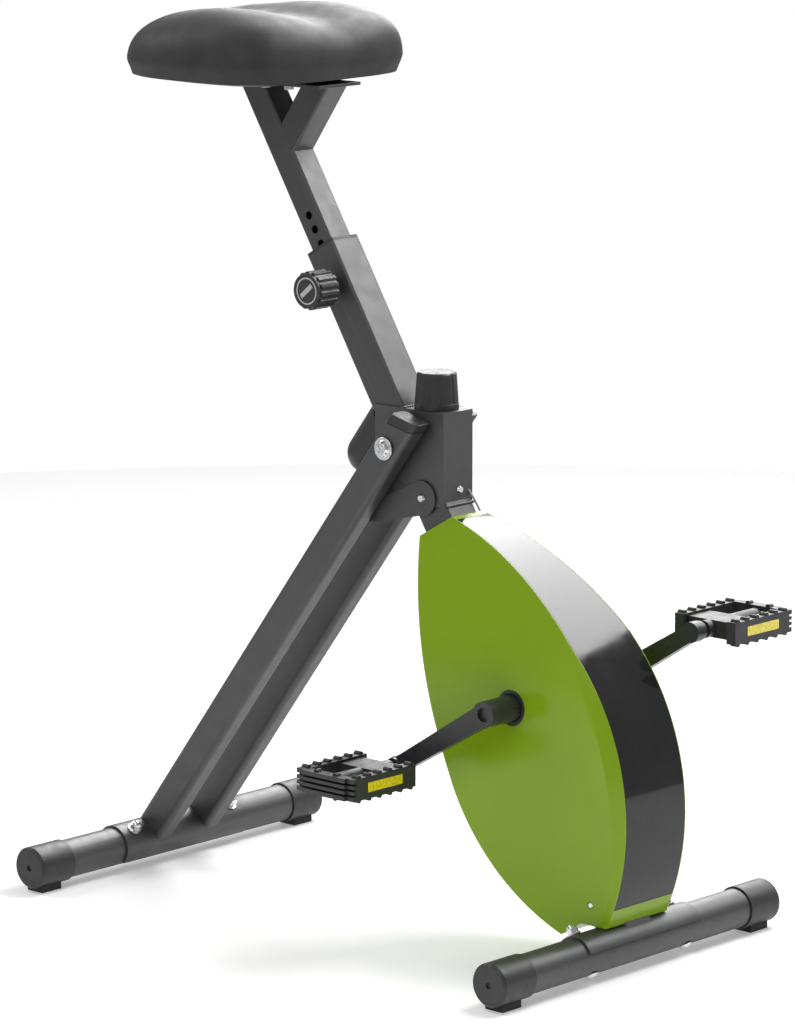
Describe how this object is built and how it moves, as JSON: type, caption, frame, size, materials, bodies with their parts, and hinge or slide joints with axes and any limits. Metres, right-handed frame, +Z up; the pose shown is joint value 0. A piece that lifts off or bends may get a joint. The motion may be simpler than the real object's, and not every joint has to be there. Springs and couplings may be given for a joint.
{
  "type": "folding desk exercise bike",
  "caption": "Folding exercise bike: padded saddle on a leaning square spine, hinged rear legs, green lens-shaped drive shell, cranks, pedals and knobs.",
  "frame": {"origin": "middle of the footprint box, on the floor", "axes": "+X is the way a rider faces, +Y is the rider's left, +Z is up"},
  "size_m": [0.8755, 0.528, 1.1478],
  "materials": {
    "frame_paint": "satin dark grey powder coat",
    "black_plastic": "moulded matte black",
    "pad_rubber": "matte black",
    "belt_rubber": "matte black",
    "zinc": "bright zinc plate",
    "bare_steel": "machined",
    "shell_green": "glossy lime green",
    "gloss_black": "piano black",
    "cable_grey": "grey plastic sheath",
    "saddle_vinyl": "black grained vinyl",
    "crank_paint": "satin black",
    "reflector_yellow": "clear yellow prismatic",
    "flywheel_iron": "machined rim"
  },
  "bodies": {
    "frame": {"spine_tube": "frame_paint", "head_box": "frame_paint", "mast_bush": "black_plastic", "rear_bumper": "black_plastic", "stop_rod": "frame_paint", "pivot_sleeve": "bare_steel", "pivot_bolt": "zinc", "head_screw": "zinc", "front_foot_tube": "frame_paint", "front_saddle_plate": "frame_paint", "front_end_caps": "black_plastic", "front_foot_pads": "pad_rubber", "front_carriage_bolts": "zinc", "front_acorn_nuts": "zinc", "shell_right": "shell_green", "shell_left": "shell_green", "front_trim": "gloss_black", "shell_screws": "zinc", "hub_rings": "black_plastic", "crank_bearings": "bare_steel", "flywheel_bearings": "bare_steel", "magnet_plate": "frame_paint", "tension_cable": "cable_grey", "drive_belt": "belt_rubber"},
    "rear_legs": {"leg_right": "frame_paint", "leg_left": "frame_paint", "leg_plugs": "black_plastic", "leg_bushes": "bare_steel", "lock_ears": "frame_paint", "ear_bolts": "zinc", "rear_foot_tube": "frame_paint", "rear_saddle_plate": "frame_paint", "rear_end_caps": "black_plastic", "rear_foot_pads": "pad_rubber", "rear_carriage_bolts": "zinc", "rear_acorn_nuts": "zinc"},
    "seat": {"seat_post": "frame_paint", "fork_brace": "frame_paint", "seat_plate": "frame_paint", "seat_bolts": "zinc", "saddle_pan": "black_plastic", "saddle_cushion": "saddle_vinyl"},
    "seat_pin": {"pop_pin_knob": "black_plastic", "pop_pin": "zinc"},
    "tension_control": {"tension_knob": "black_plastic", "knob_shaft": "zinc"},
    "crank": {"crank_axle": "bare_steel", "crank_arm_right": "crank_paint", "crank_arm_left": "crank_paint", "drive_pulley": "black_plastic", "pedal_spindles": "crank_paint"},
    "right_pedal": {"pedal_right": "black_plastic", "reflectors_right": "reflector_yellow"},
    "left_pedal": {"pedal_left": "black_plastic", "reflectors_left": "reflector_yellow"},
    "flywheel": {"flywheel": "flywheel_iron", "flywheel_shaft": "bare_steel", "small_pulley": "black_plastic"},
    "brake": {"magnet_bracket": "frame_paint", "magnets": "bare_steel"}
  },
  "joints": [
    {"name": "leg_fold", "type": "hinge", "parent": "frame", "child": "rear_legs", "pos_m": [0.0293, 0, 0.61279], "axis": [0, 1, 0], "range_deg": [-38, 0]},
    {"name": "seat_height", "type": "slide", "parent": "frame", "child": "seat", "axis": [-0.5225, 0, 0.8526], "range_m": [-0.1, 0.06]},
    {"name": "pin_pull", "type": "slide", "parent": "frame", "child": "seat_pin", "axis": [0, -1, 0], "range_m": [-0.006, 0.006]},
    {"name": "tension_turn", "type": "hinge", "parent": "frame", "child": "tension_control", "pos_m": [0.0626, 0, 0.66], "axis": [0, 0, 1], "range_deg": [0, 300]},
    {"name": "brake_swing", "type": "hinge", "parent": "frame", "child": "brake", "pos_m": [0.2071, 0, 0.14814], "axis": [0, 1, 0], "range_deg": [-8.2, 0]},
    {"name": "crank_spin", "type": "hinge", "parent": "frame", "child": "crank", "pos_m": [0.2446, 0, 0.316], "axis": [0, 1, 0], "continuous": true},
    {"name": "right_pedal_spin", "type": "hinge", "parent": "crank", "child": "right_pedal", "pos_m": [0.09965, -0.00019, 0.22717], "axis": [0, 1, 0], "continuous": true},
    {"name": "left_pedal_spin", "type": "hinge", "parent": "crank", "child": "left_pedal", "pos_m": [0.38955, 0.00019, 0.40482], "axis": [0, 1, 0], "continuous": true},
    {"name": "flywheel_spin", "type": "hinge", "parent": "frame", "child": "flywheel", "pos_m": [0.30361, 0, 0.16516], "axis": [0, 1, 0], "continuous": true}
  ],
  "couplings": [
    {"joint": "flywheel_spin", "follows": "crank_spin", "ratio": 5},
    {"joint": "brake_swing", "follows": "tension_turn", "ratio": -0.0267}
  ]
}
